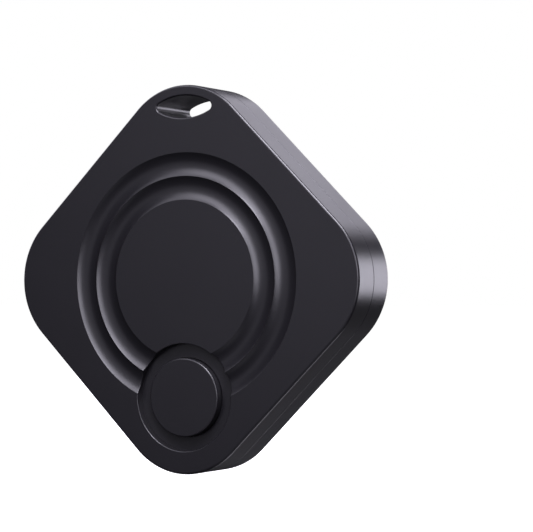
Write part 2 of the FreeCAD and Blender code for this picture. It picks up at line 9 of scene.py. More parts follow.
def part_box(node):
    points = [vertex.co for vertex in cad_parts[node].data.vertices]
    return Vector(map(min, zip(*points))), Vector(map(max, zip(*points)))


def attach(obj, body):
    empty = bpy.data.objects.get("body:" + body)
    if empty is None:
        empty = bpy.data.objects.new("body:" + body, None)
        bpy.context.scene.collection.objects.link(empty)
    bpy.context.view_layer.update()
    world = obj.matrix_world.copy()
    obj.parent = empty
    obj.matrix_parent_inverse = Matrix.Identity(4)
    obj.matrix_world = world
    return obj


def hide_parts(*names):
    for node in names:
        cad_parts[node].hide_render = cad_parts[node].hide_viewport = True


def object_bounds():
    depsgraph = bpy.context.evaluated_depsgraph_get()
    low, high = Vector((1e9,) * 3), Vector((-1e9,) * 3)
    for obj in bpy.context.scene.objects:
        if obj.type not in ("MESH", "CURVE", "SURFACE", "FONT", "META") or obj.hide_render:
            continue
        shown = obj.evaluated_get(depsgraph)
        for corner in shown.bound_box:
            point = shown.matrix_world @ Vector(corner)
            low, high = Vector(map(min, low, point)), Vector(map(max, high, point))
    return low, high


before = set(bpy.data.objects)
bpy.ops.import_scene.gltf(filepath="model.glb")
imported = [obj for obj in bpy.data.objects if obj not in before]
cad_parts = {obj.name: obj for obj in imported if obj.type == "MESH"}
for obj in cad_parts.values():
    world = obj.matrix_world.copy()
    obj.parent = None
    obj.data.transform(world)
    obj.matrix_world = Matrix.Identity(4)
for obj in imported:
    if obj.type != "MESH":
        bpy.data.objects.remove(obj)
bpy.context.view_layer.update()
MM = 0.001

# The shells and the button are drawn flat, in millimetres, as the CAD source draws them: x to
# the right, y up to the hanging corner, z out of the front face, zero in the middle of the rings.
# STAND takes a flat point to its place in the frame, in metres.
CELL_LOW, CELL_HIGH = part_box("cell_can")
RING_HEIGHT = (CELL_LOW.z + CELL_HIGH.z) / 2 / MM
STAND = Matrix(((MM, 0, 0, 0), (0, 0, -MM, 0), (0, MM, 0, RING_HEIGHT * MM), (0, 0, 0, 1)))

# ---- sizes of the case, the same as in the CAD source, where only the well's rim is left sharp ----
SIDE = 40.0
CORNER_RADIUS = 9.7
FRONT = -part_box("front_shell")[0].y / MM
SIDE_WALL = 1.4
EDGE_RADIUS = 0.3
SEAM_RADIUS = 0.08
OUTER_RING_RADIUS = 15.85
RIDGE_RADIUS = 12.9
DISC_RADIUS = 9.95
TROUGH_DEPTH = 0.5
BUTTON_Y = (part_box("button_cap")[0].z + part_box("button_cap")[1].z) / 2 / MM - RING_HEIGHT
BUTTON_RADIUS = 4.9
BUTTON_EDGE_RADIUS = 0.2
BUTTON_SKIN = 1.0
BUTTON_STUD_RADIUS = 1.6
WELL_RADIUS = 6.7
WELL_DEPTH = 1.1
WELL_FLOOR = 0.8
WELL_WALL = 0.8
WELL_EDGE_RADIUS = 0.12
SLOT_Y = -RING_HEIGHT
SLOT_HALF_WIDTH = 3.92
SLOT_HALF_HEIGHT = 1.41
SLOT_TIP_RADIUS = 0.6
SLOT_WALL = 0.9
SLOT_EDGE_RADIUS = 0.2
LIP_THICKNESS = 0.6
FIT_GAP = 0.08
LOOSE_GAP = 0.3
CONTACT_GAP = 0.02
SEAT_RIB = 0.8
BOSS_RADIUS = 1.6
SCREW_RADIUS = 0.7
SCREW_HEAD_RADIUS = 1.25
BUZZER_RIB = 0.6
BUZZER_RIB_HEIGHT = 0.4
BUZZER_RADIUS = (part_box("buzzer_plate")[1].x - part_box("buzzer_plate")[0].x) / 2 / MM
CELL_RADIUS = 10.0
CELL_GAP = 0.1
SWITCH_SIDE = 5.2
POST_WIDTH = 1.2
POST_LENGTH = 2.4

# ---- levels inside the case, read from the frame ----
LIP_TOP = -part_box("rear_shell")[0].y / MM
SEAL_TOP = -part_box("shell_seal")[0].y / MM + CONTACT_GAP
FRONT_INNER = -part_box("buzzer_adhesive")[0].y / MM + BUZZER_RIB_HEIGHT
REAR_INNER = -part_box("cell_can")[1].y / MM - CELL_GAP
RIB_BOTTOM = -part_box("buzzer_adhesive")[0].y / MM
WELL_FLOOR_TOP = FRONT - WELL_DEPTH
WELL_UNDERSIDE = WELL_FLOOR_TOP - WELL_FLOOR
BOARD_TOP = -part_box("circuit_board")[0].y / MM
BOARD_BOTTOM = -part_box("circuit_board")[1].y / MM
SCREW_END = -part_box("board_screws")[0].y / MM
FLANGE_TOP = WELL_UNDERSIDE - CONTACT_GAP
FLANGE_BOTTOM = -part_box("button_cap")[1].y / MM
FLANGE_RADIUS = (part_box("button_cap")[1].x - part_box("button_cap")[0].x) / 2 / MM
SEAT_TOP = -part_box("positive_contacts")[1].y / MM - LOOSE_GAP / 2
BOSS_REACH = (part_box("board_screws")[1].x - SCREW_HEAD_RADIUS * MM) / MM
BOSS_TOP_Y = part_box("board_screws")[1].z / MM - SCREW_HEAD_RADIUS - RING_HEIGHT
BOSS_PLACES = [(-BOSS_REACH, 0.0), (BOSS_REACH, 0.0), (0.0, BOSS_TOP_Y)]

# ---- how finely round shapes are drawn ----
CIRCLE_STEPS = 240
CORNER_STEPS = 36
SLOT_STEPS = 14             # in each tip of the slot, and twice that in each long arc
BOSS_STEPS = 48
EDGE_STEPS = 6
TROUGH_STEPS = 12
LONGEST_STEP = 1.5          # along the straight sides of the outline
FILL_SPACING = 1.5
CAP_RINGS = (1.5, 3.0)      # circles that fill the flat top of the button evenly
FINE_STEPS = 3
FINE_EDGE = 0.1             # edges rounded by less than this are drawn with fewer steps
ON_EDGE = 0.001             # a triangle nearer than this to the outline lies outside it
HEIGHT_DIGITS = 3           # heights are kept to a micrometre, so that zones that touch share points
SAME_NORMAL = 0.02          # normals closer than this are one smooth surface
SMOOTH_TURN = 0.85          # walls that meet at a flatter angle than this cosine are shaded as one
SMALL_STEP = 1e-4           # sheets closer in height than this need no wall between them
CLOSE = 1e-6                # flat points nearer than this are one point
TINY = 1e-9                 # keeps a division away from zero
GRID = 4096                 # flat points sit on this many steps to the millimetre, so that sheets share them


# ---- outlines: closed loops of flat points ----
def circle(radius, x=0.0, y=0.0, steps=CIRCLE_STEPS):
    turns = np.linspace(0, 2 * np.pi, steps, endpoint=False)
    return np.column_stack((x + radius * np.cos(turns), y + radius * np.sin(turns)))


def rounded_square(inset):
    """The case's outline moved in by inset, standing on one corner."""
    radius = CORNER_RADIUS - inset
    reach = (SIDE / 2 - CORNER_RADIUS) * math.sqrt(2)
    points = []
    for corner in range(4):
        middle = corner * np.pi / 2
        turns = np.linspace(middle - np.pi / 4, middle + np.pi / 4, CORNER_STEPS)
        x = reach * math.cos(middle) + radius * np.cos(turns)
        y = reach * math.sin(middle) + radius * np.sin(turns)
        points.append(np.column_stack((x, y)))
    corners = np.vstack(points)
    return np.vstack([split_run(a, b) for a, b in zip(corners, np.roll(corners, -1, axis=0))])


def split_run(start, end):
    """The start of a run and the points that keep its steps short."""
    count = max(int(math.hypot(*(end - start)) / LONGEST_STEP), 1)
    return start + (end - start) * np.arange(count)[:, None] / count


def slot_arcs(grow):
    """(centre x, centre y, radius) of the slot's long arcs and of its tips."""
    half_width = SLOT_HALF_WIDTH + grow
    half_height = SLOT_HALF_HEIGHT + grow
    tip = SLOT_TIP_RADIUS + grow
    tip_x = half_width - tip
    long_radius = (tip_x**2 + half_height**2 - tip**2) / (2 * (half_height - tip))
    return half_height - long_radius, long_radius, tip_x, tip


def slot_loop(grow):
    long_y, long_radius, tip_x, tip = slot_arcs(grow)
    lean = math.atan2(tip_x, -long_y)
    parts = []
    for middle_x, middle_y, radius, first, last in (
        (tip_x, 0, tip, lean - np.pi / 2, np.pi / 2 - lean),
        (0, long_y, long_radius, np.pi / 2 - lean, np.pi / 2 + lean),
        (-tip_x, 0, tip, np.pi / 2 + lean, 3 * np.pi / 2 - lean),
        (0, -long_y, long_radius, 3 * np.pi / 2 - lean, 3 * np.pi / 2 + lean),
    ):
        steps = SLOT_STEPS if middle_x else 2 * SLOT_STEPS
        turns = np.linspace(first, last, steps, endpoint=False)
        x = middle_x + radius * np.cos(turns)
        y = middle_y + radius * np.sin(turns)
        parts.append(np.column_stack((x, y)))
    return np.vstack(parts) + (0, SLOT_Y)


# ---- distances from an edge, positive on the solid side, and which way they grow ----
def from_outline(x, y):
    bend = SIDE / 2 - CORNER_RADIUS
    u, v = (x + y) / math.sqrt(2), (y - x) / math.sqrt(2)
    over_u, over_v = np.maximum(np.abs(u) - bend, 0), np.maximum(np.abs(v) - bend, 0)
    far = np.hypot(over_u, over_v)
    inside = np.maximum(np.abs(u), np.abs(v)) - bend
    distance = CORNER_RADIUS - np.where(far > 0, far, inside)
    away_u = np.where(far > 0, over_u * np.sign(u) / np.maximum(far, TINY), 0)
    away_v = np.where(far > 0, over_v * np.sign(v) / np.maximum(far, TINY), 0)
    return distance, -(away_u - away_v) / math.sqrt(2), -(away_u + away_v) / math.sqrt(2)


def from_slot(x, y):
    long_y, long_radius, tip_x, tip = slot_arcs(0)
    right, up = np.abs(x), np.abs(y - SLOT_Y)
    lean = math.atan2(tip_x, -long_y)
    by_tip = np.arctan2(right, up - long_y) > lean
    middle_x, middle_y = np.where(by_tip, tip_x, 0), np.where(by_tip, 0, long_y)
    radius = np.where(by_tip, tip, long_radius)
    far = np.maximum(np.hypot(right - middle_x, up - middle_y), TINY)
    grow_x = (right - middle_x) / far * np.where(x < 0, -1, 1)
    grow_y = (up - middle_y) / far * np.where(y < SLOT_Y, -1, 1)
    return far - radius, grow_x, grow_y


def from_well(x, y):
    far = np.maximum(np.hypot(x, y - BUTTON_Y), TINY)
    return far - WELL_RADIUS, x / far, (y - BUTTON_Y) / far


def trough_shape(radius, inner, outer):
    """(height, slope) of a round-bottomed trough between two radii."""
    half = (outer - inner) / 2
    bend = (half**2 + TROUGH_DEPTH**2) / (2 * TROUGH_DEPTH)
    across = np.clip(radius - inner - half, -half, half)
    root = np.sqrt(bend**2 - across**2)
    return (bend - TROUGH_DEPTH) - root, across / root


TROUGHS = {
    "inner_trough": (DISC_RADIUS, RIDGE_RADIUS),
    "outer_trough": (RIDGE_RADIUS, OUTER_RING_RADIUS),
}
UPWARD = (0.0, 0.0, 1.0)
DOWNWARD = (0.0, 0.0, -1.0)


def rounded(x, y, height, slope_x, slope_y, edges):
    """Rounds a sheet down to its edges: (height, normal) at each point."""
    normal = np.column_stack((-slope_x, -slope_y, np.ones_like(slope_x)))
    for measure, radius in edges:
        distance, grow_x, grow_y = measure(x, y)
        gap = np.clip(1 - distance / radius, 0, 1)
        level = np.sqrt(1 - gap**2)
        height = height - radius * (1 - level)
        normal *= level[:, None]
        normal[:, 0] -= gap * grow_x
        normal[:, 1] -= gap * grow_y
    return height, normal / np.linalg.norm(normal, axis=1)[:, None]


def face_sheet(zone, x, y, with_well):
    """The outer face of a shell."""
    height, slope = np.full_like(x, FRONT), np.zeros_like(x)
    radius = np.maximum(np.hypot(x, y), TINY)
    if zone == "well":
        return np.full_like(x, WELL_FLOOR_TOP), np.tile(UPWARD, (len(x), 1))
    if zone in TROUGHS:
        drop, slope = trough_shape(radius, *TROUGHS[zone])
        height = height + drop
    edges = [(from_outline, EDGE_RADIUS), (from_slot, SLOT_EDGE_RADIUS)]
    if with_well:
        edges.append((from_well, WELL_EDGE_RADIUS))
    return rounded(x, y, height, slope * x / radius, slope * y / radius, edges)


def wall_normal(a, b):
    """The way that an upright wall faces, to the right of a to b."""
    return np.array((b[1] - a[1], a[0] - b[0], 0)) / math.dist(a, b)


# ---- a skin: faces with a normal for each corner ----
class Skin:
    def __init__(self):
        self.points = {}
        self.faces = []
        self.normals = []

    def point(self, x, y, z):
        return self.points.setdefault((round(x, 5), round(y, 5), round(z, 5)), len(self.points))

    def face(self, corners, normals):
        found = [self.point(*corner) for corner in corners]
        kept = [i for i, p in enumerate(found) if p != found[i - 1]]
        if len(kept) > 2:
            self.faces.append([found[i] for i in kept])
            self.normals.append([normals[i] for i in kept])

    def walls(self, quads):
        """Upright quads (a, b, lower heights, upper heights) that face right of a to b, shaded smoothly."""
        around = {}
        for a, b, *_ in quads:
            for end in (a, b):
                around.setdefault(end, []).append(wall_normal(a, b))
        for a, b, low, high in quads:
            own = wall_normal(a, b)
            at = []
            for end in (a, b):
                near = sum(n for n in around[end] if n @ own > SMOOTH_TURN)
                at.append(near / np.linalg.norm(near))
            self.face(
                [(*a, low[0]), (*b, low[1]), (*b, high[1]), (*a, high[0])],
                [at[0], at[1], at[1], at[0]],
            )

    def sheet(self, loops, zone_at, shape, up, runs=()):
        """Fills loops and open runs with triangles at the heights that shape gives.
        Returns the rim: {(a, b): heights}."""
        points, edges = [], []
        for line in [*loops, *runs]:
            first = len(points)
            points.extend(np.round(line * GRID) / GRID)
            edges.extend((first + i, first + i + 1) for i in range(len(line) - 1))
        starts = np.cumsum([0] + [len(loop) for loop in loops])
        edges.extend((int(end) - 1, int(start)) for start, end in zip(starts, starts[1:]))
        # Points spread over the whole sheet keep the flat parts from filling with thin triangles.
        spread = np.arange(-SIDE / math.sqrt(2), SIDE / math.sqrt(2), FILL_SPACING)
        points.extend(np.round(np.array([(x, y) for x in spread for y in spread]) * GRID) / GRID)
        found, _, triangles, *_ = delaunay_2d_cdt([Vector(p) for p in points], edges, [], 0, CLOSE)
        flat = np.round(np.array([tuple(p) for p in found]) * GRID) / GRID
        triangles = np.array(triangles)
        middles = flat[triangles].mean(axis=1)
        zones = np.array([zone_at(*middle) or "" for middle in middles])
        sides = {}
        for zone in sorted(set(zones) - {""}):
            mine = triangles[zones == zone]
            used = np.unique(mine)
            height, normal = shape(zone, flat[used, 0], flat[used, 1])
            height = np.round(height, HEIGHT_DIGITS)
            where = {p: i for i, p in enumerate(used)}
            for triangle in mine:
                order = triangle if up else triangle[::-1]
                rows = [where[p] for p in order]
                corners = [(*flat[p], height[r]) for p, r in zip(order, rows)]
                self.face(corners, [normal[r] for r in rows])
                for i in range(3):
                    a, b = triangle[i], triangle[(i + 1) % 3]
                    sides[a, b] = (height[where[a]], height[where[b]])
        rim, steps = {}, []
        for (a, b), mine in sides.items():
            other = sides.get((b, a))
            a_flat, b_flat = tuple(flat[a]), tuple(flat[b])
            if other is None:
                rim[a_flat, b_flat] = mine
                continue
            theirs = other[::-1]
            if mine[0] + mine[1] > theirs[0] + theirs[1] + SMALL_STEP:
                if up:
                    steps.append((a_flat, b_flat, theirs, mine))
                else:
                    steps.append((b_flat, a_flat, theirs[::-1], mine[::-1]))
        self.walls(steps)
        return rim

    def close(self, upper, lower):
        """Walls between the rims of an upper and a lower sheet."""
        self.walls([(a, b, lower[a, b], high) for (a, b), high in upper.items()])

    @staticmethod
    def creases(faces, normals):
        """The edges whose two faces have different normals along them."""
        seen, found = {}, set()
        for face, corners in zip(faces, normals):
            for i, end in enumerate(face):
                (a, at_a), (b, at_b) = sorted(((face[i - 1], corners[i - 1]), (end, corners[i])))
                other = seen.setdefault((a, b), at_a + at_b)
                if max(abs(p - q) for p, q in zip(other, at_a + at_b)) > SAME_NORMAL:
                    found.add((a, b))
        return found

    def piece(self, name, mirrored=False):
        turn = -1 if mirrored else 1
        points = [STAND @ Vector((x, y, z * turn)) for x, y, z in self.points]
        faces = [face[::turn] for face in self.faces]
        normals = [[(n[0], -n[2] * turn, n[1]) for n in corners[::turn]] for corners in self.normals]
        mesh = bpy.data.meshes.new(name)
        mesh.from_pydata(points, [], faces)
        mesh.validate()
        mesh.shade_smooth()
        sharp = self.creases(faces, normals)
        for edge in mesh.edges:
            edge.use_edge_sharp = tuple(sorted(edge.vertices)) in sharp
        mesh.normals_split_custom_set([normal for corners in normals for normal in corners])
        obj = bpy.data.objects.new(name, mesh)
        bpy.context.scene.collection.objects.link(obj)
        return obj


def edge_insets(radius):
    """Distances from an edge at which its rounding is drawn."""
    steps = EDGE_STEPS if radius > FINE_EDGE else FINE_STEPS
    turns = np.linspace(0, np.pi / 2, steps + 1)
    return radius * (1 - np.cos(turns[:0:-1]))


def hypot_from(x, y, place):
    return math.hypot(x - place[0], y - place[1])


def one(measure, x, y):
    """A distance measured at one point."""
    return float(measure(np.array([x]), np.array([y]))[0][0])


def in_case(x, y):
    """Whether a flat point is inside the outline and outside the slot."""
    return one(from_outline, x, y) >= ON_EDGE and one(from_slot, x, y) >= 0


# ---- the two shells ----
def outline_loops():
    loops = [rounded_square(0.0)]
    loops += [rounded_square(inset) for inset in edge_insets(EDGE_RADIUS)]
    loops += [slot_loop(0.0)]
    loops += [slot_loop(grow) for grow in edge_insets(SLOT_EDGE_RADIUS)]
    return loops


def wall_loops(lip_gap):
    """The inner steps of the side wall. They run through the slot, so both sheets of a shell need them."""
    return [rounded_square(SIDE_WALL - LIP_THICKNESS - lip_gap), rounded_square(SIDE_WALL)]


def front_face_loops():
    loops = outline_loops() + wall_loops(FIT_GAP)
    loops += [circle(WELL_RADIUS, 0, BUTTON_Y)]
    loops += [circle(WELL_RADIUS + grow, 0, BUTTON_Y) for grow in edge_insets(WELL_EDGE_RADIUS)]
    loops += [circle(BUTTON_RADIUS + FIT_GAP, 0, BUTTON_Y)]
    return loops


def trough_runs():
    """Circles round the disc, each broken where it crosses the well."""
    runs = []
    for inner, outer in TROUGHS.values():
        for radius in np.linspace(inner, outer, TROUGH_STEPS + 1):
            from_bottom = np.roll(circle(radius), CIRCLE_STEPS // 4, axis=0)
            from_button = np.hypot(from_bottom[:, 0], from_bottom[:, 1] - BUTTON_Y)
            runs.append(from_bottom[from_button > (WELL_RADIUS + BUTTON_RADIUS) / 2])
    return runs


def front_zone(x, y):
    from_button = hypot_from(x, y, (0, BUTTON_Y))
    if not in_case(x, y) or from_button < BUTTON_RADIUS + FIT_GAP:
        return None
    if from_button < WELL_RADIUS:
        return "well"
    for zone, (inner, outer) in TROUGHS.items():
        if inner < math.hypot(x, y) < outer:
            return zone
    return "face"


def rear_zone(x, y):
    return "face" if in_case(x, y) else None


def seam_loops():
    return [rounded_square(0.0)] + [rounded_square(inset) for inset in edge_insets(SEAM_RADIUS)]


def level_shape(levels):
    """The inner side of a shell: flat levels, with the rim rounded at the parting line."""
    def shape(zone, x, y):
        height = np.full_like(x, levels[zone])
        flat = np.zeros_like(x)
        if zone != "seam":
            return height, np.tile(DOWNWARD, (len(x), 1))
        drop, normal = rounded(x, y, flat, flat, flat, [(from_outline, SEAM_RADIUS)])
        return height - drop, normal * (1, 1, -1)
    return shape


def front_inside_zone(x, y):
    from_button = hypot_from(x, y, (0, BUTTON_Y))
    edge = one(from_outline, x, y)
    slot_edge = one(from_slot, x, y)
    if not in_case(x, y) or from_button < BUTTON_RADIUS + FIT_GAP:
        return None
    for place in BOSS_PLACES:
        if hypot_from(x, y, place) < SCREW_RADIUS + CONTACT_GAP:
            return "screw_hole"
        if hypot_from(x, y, place) < BOSS_RADIUS:
            return "boss"
    if slot_edge < SLOT_WALL or edge < SIDE_WALL - LIP_THICKNESS - FIT_GAP:
        return "seam"
    if edge < SIDE_WALL:
        return "rebate"
    if from_button < WELL_RADIUS + WELL_WALL:
        return "well_pad"
    if BUZZER_RADIUS - BUZZER_RIB < math.hypot(x, y) < BUZZER_RADIUS:
        return "buzzer_rib"
    return "ceiling"


def front_face(zone, x, y):
    return face_sheet(zone, x, y, with_well=True)


def front_shell():
    skin = Skin()
    upper = skin.sheet(front_face_loops(), front_zone, front_face, True, trough_runs())
    loops = seam_loops() + [slot_loop(0.0), slot_loop(SLOT_WALL)]
    loops += wall_loops(FIT_GAP)
    loops += [circle(radius, 0, BUTTON_Y) for radius in (BUTTON_RADIUS + FIT_GAP, WELL_RADIUS + WELL_WALL)]
    loops += [circle(BUZZER_RADIUS), circle(BUZZER_RADIUS - BUZZER_RIB)]
    for place in BOSS_PLACES:
        loops += [circle(BOSS_RADIUS, *place, BOSS_STEPS)]
        loops += [circle(SCREW_RADIUS + CONTACT_GAP, *place, BOSS_STEPS)]
    levels = {
        "seam": 0.0,
        "rebate": SEAL_TOP,
        "ceiling": FRONT_INNER,
        "well_pad": WELL_UNDERSIDE,
        "buzzer_rib": RIB_BOTTOM,
        "boss": BOARD_TOP,
        "screw_hole": SCREW_END + LOOSE_GAP,
    }
    lower = skin.sheet(loops, front_inside_zone, level_shape(levels), False)
    skin.close(upper, lower)
    return skin.piece("front_case")


POST_PLACES = [(side * SWITCH_SIDE / 2, BUTTON_Y - SWITCH_SIDE / 4) for side in (-1, 1)]
POST_HALF = (POST_WIDTH / 2, POST_LENGTH / 2)


def rectangle(half, place):
    signs = np.array(((-1, -1), (1, -1), (1, 1), (-1, 1)))
    return signs * half + place


def rear_inside_zone(x, y):
    edge = one(from_outline, x, y)
    slot_edge = one(from_slot, x, y)
    if not in_case(x, y):
        return None
    if slot_edge < SLOT_WALL or edge < SIDE_WALL - LIP_THICKNESS:
        return "seam"
    if edge < SIDE_WALL:
        return "seam" if slot_edge < SLOT_WALL + FIT_GAP else "lip"
    for place in POST_PLACES:
        if abs(x - place[0]) < POST_HALF[0] and abs(y - place[1]) < POST_HALF[1]:
            return "post"
    if CELL_RADIUS + LOOSE_GAP < math.hypot(x, y) < CELL_RADIUS + LOOSE_GAP + SEAT_RIB:
        return "seat"
    return "floor"


def rear_face(zone, x, y):
    return face_sheet(zone, x, y, with_well=False)


def rear_shell():
    """Drawn face up, then mirrored to the rear."""
    skin = Skin()
    upper = skin.sheet(outline_loops() + wall_loops(0), rear_zone, rear_face, True)
    loops = seam_loops() + [slot_loop(0.0), slot_loop(SLOT_WALL), slot_loop(SLOT_WALL + FIT_GAP)]
    loops += wall_loops(0)
    loops += [circle(CELL_RADIUS + LOOSE_GAP), circle(CELL_RADIUS + LOOSE_GAP + SEAT_RIB)]
    loops += [rectangle(POST_HALF, place) for place in POST_PLACES]
    levels = {
        "seam": 0.0,
        "lip": -LIP_TOP,
        "floor": -REAR_INNER,
        "seat": -SEAT_TOP,
        "post": -BOARD_BOTTOM + CONTACT_GAP,
    }
    lower = skin.sheet(loops, rear_inside_zone, level_shape(levels), False)
    skin.close(upper, lower)
    return skin.piece("rear_case", mirrored=True)


# ---- the button ----
def button_cap():
    """A cap turned about its own middle, rounded at the top, with its flange and its hollow."""
    skin = Skin()
    radii = [BUTTON_RADIUS]
    radii += [BUTTON_RADIUS - inset for inset in edge_insets(BUTTON_EDGE_RADIUS)]
    radii += [*CAP_RINGS, FLANGE_RADIUS]

    def from_side(x, y):
        far = np.maximum(np.hypot(x, y - BUTTON_Y), TINY)
        return BUTTON_RADIUS - far, -x / far, -(y - BUTTON_Y) / far

    def top_zone(x, y):
        far = hypot_from(x, y, (0, BUTTON_Y))
        if far > FLANGE_RADIUS:
            return None
        return "top" if far < BUTTON_RADIUS else "flange"

    def top_shape(zone, x, y):
        flat = np.zeros_like(x)
        if zone == "flange":
            return flat + FLANGE_TOP, np.tile(UPWARD, (len(x), 1))
        return rounded(x, y, flat + FRONT, flat, flat, [(from_side, BUTTON_EDGE_RADIUS)])

    upper = skin.sheet([circle(radius, 0, BUTTON_Y) for radius in radii], top_zone, top_shape, True)
    hollow_radius = BUTTON_RADIUS - BUTTON_SKIN

    def under_zone(x, y):
        far = hypot_from(x, y, (0, BUTTON_Y))
        if far > FLANGE_RADIUS:
            return None
        return "hollow" if BUTTON_STUD_RADIUS < far < hollow_radius else "flange"

    def under_shape(zone, x, y):
        level = WELL_FLOOR_TOP if zone == "hollow" else FLANGE_BOTTOM
        return np.full_like(x, level), np.tile(DOWNWARD, (len(x), 1))

    under = [circle(radius, 0, BUTTON_Y) for radius in (FLANGE_RADIUS, hollow_radius, BUTTON_STUD_RADIUS)]
    lower = skin.sheet(under, under_zone, under_shape, False)
    skin.close(upper, lower)
    return skin.piece("push_button")


# ---- materials ----
class Shader:
    """A small helper round one material's nodes."""

    def __init__(self, name):
        self.material = bpy.data.materials.new(name)
        self.material.use_nodes = True
        self.tree = self.material.node_tree
        self.shader = self.tree.nodes["Principled BSDF"]

    def node(self, kind, values=None, **links):
        made = self.tree.nodes.new(kind)
        for key, value in (values or {}).items():
            if key in made.inputs:
                made.inputs[key].default_value = value
            else:
                setattr(made, key, value)
        for key, source in links.items():
            self.tree.links.new(source, made.inputs[key.replace("_", " ")])
        return made

    def place(self):
        return self.node("ShaderNodeTexCoord").outputs["Object"]

    def noise(self, scale, detail=3.0, roughness=0.6):
        values = {"Scale": scale, "Detail": detail, "Roughness": roughness}
        made = self.node("ShaderNodeTexNoise", values, Vector=self.place())
        return made.outputs["Fac"]

    def span(self, source, low, high):
        """Takes 0..1 to low..high."""
        made = self.node("ShaderNodeMapRange", {"To Min": low, "To Max": high}, Value=source)
        return made.outputs["Result"]

    def blend_colours(self, source, first, second):
        made = self.node("ShaderNodeMix", {"data_type": "RGBA"}, Factor=source)
        colours = [socket for socket in made.inputs if socket.type == "RGBA"]
        colours[0].default_value = (*first, 1)
        colours[1].default_value = (*second, 1)
        return [socket for socket in made.outputs if socket.type == "RGBA"][0]

    def bump(self, source, depth):
        """Relief of a depth in metres."""
        made = self.node("ShaderNodeBump", {"Distance": depth, "Strength": 1.0}, Height=source)
        self.tree.links.new(made.outputs["Normal"], self.shader.inputs["Normal"])

    def set(self, **values):
        for key, value in values.items():
            socket = self.shader.inputs[key.replace("_", " ")]
            if isinstance(value, bpy.types.NodeSocket):
                self.tree.links.new(value, socket)
            elif isinstance(value, tuple):
                socket.default_value = (*value, 1)
            else:
                socket.default_value = value


def scaled(colour, factor):
    return tuple(min(channel * factor, 1.0) for channel in colour)


# How an inner piece varies over its surface. Grains are in specks to the metre, relief in metres.
INNER_GRAIN = 2500.0
INNER_MOTTLE_GRAIN = INNER_GRAIN / 8
INNER_MOTTLE = 0.15
INNER_GLOSS_SPREAD = 0.08
INNER_RELIEF = 0.000004
SMOOTHEST = 0.05


def plain_material(name, colour, roughness, metallic):
    """A material with mottled colour, mottled gloss and a fine relief."""
    shader = Shader(name)
    soft = shader.noise(INNER_MOTTLE_GRAIN)
    fine = shader.noise(INNER_GRAIN, 4.0, 0.7)
    darker, lighter = scaled(colour, 1 - INNER_MOTTLE), scaled(colour, 1 + INNER_MOTTLE)
    glossier = max(roughness - INNER_GLOSS_SPREAD, SMOOTHEST)
    duller = min(roughness + INNER_GLOSS_SPREAD, 1.0)
    shader.set(
        Base_Color=shader.blend_colours(soft, darker, lighter),
        Roughness=shader.span(fine, glossier, duller),
        Metallic=metallic,
    )
    shader.bump(fine, INNER_RELIEF)
    return shader.material


CASE_COLOUR = (0.005, 0.0047, 0.006)
CASE_ROUGHNESS = 0.33
BUTTON_ROUGHNESS = 0.34
CASE_GRAIN = 9000.0
CASE_MOTTLE_GRAIN = 160.0
CASE_MOTTLE = 0.06
CASE_GLOSS_SPREAD = 0.02
CASE_RELIEF = 0.0000012


def case_material(name, roughness):
    """Satin charcoal moulded plastic with a fine spark-eroded grain."""
    shader = Shader(name)
    soft = shader.noise(CASE_MOTTLE_GRAIN, 2.0)
    fine = shader.noise(CASE_GRAIN, 3.0, 0.6)
    darker, lighter = scaled(CASE_COLOUR, 1 - CASE_MOTTLE), scaled(CASE_COLOUR, 1 + CASE_MOTTLE)
    shader.set(
        Base_Color=shader.blend_colours(soft, darker, lighter),
        Roughness=shader.span(soft, roughness - CASE_GLOSS_SPREAD, roughness + CASE_GLOSS_SPREAD),
        IOR=1.5,
    )
    shader.bump(fine, CASE_RELIEF)
    return shader.material


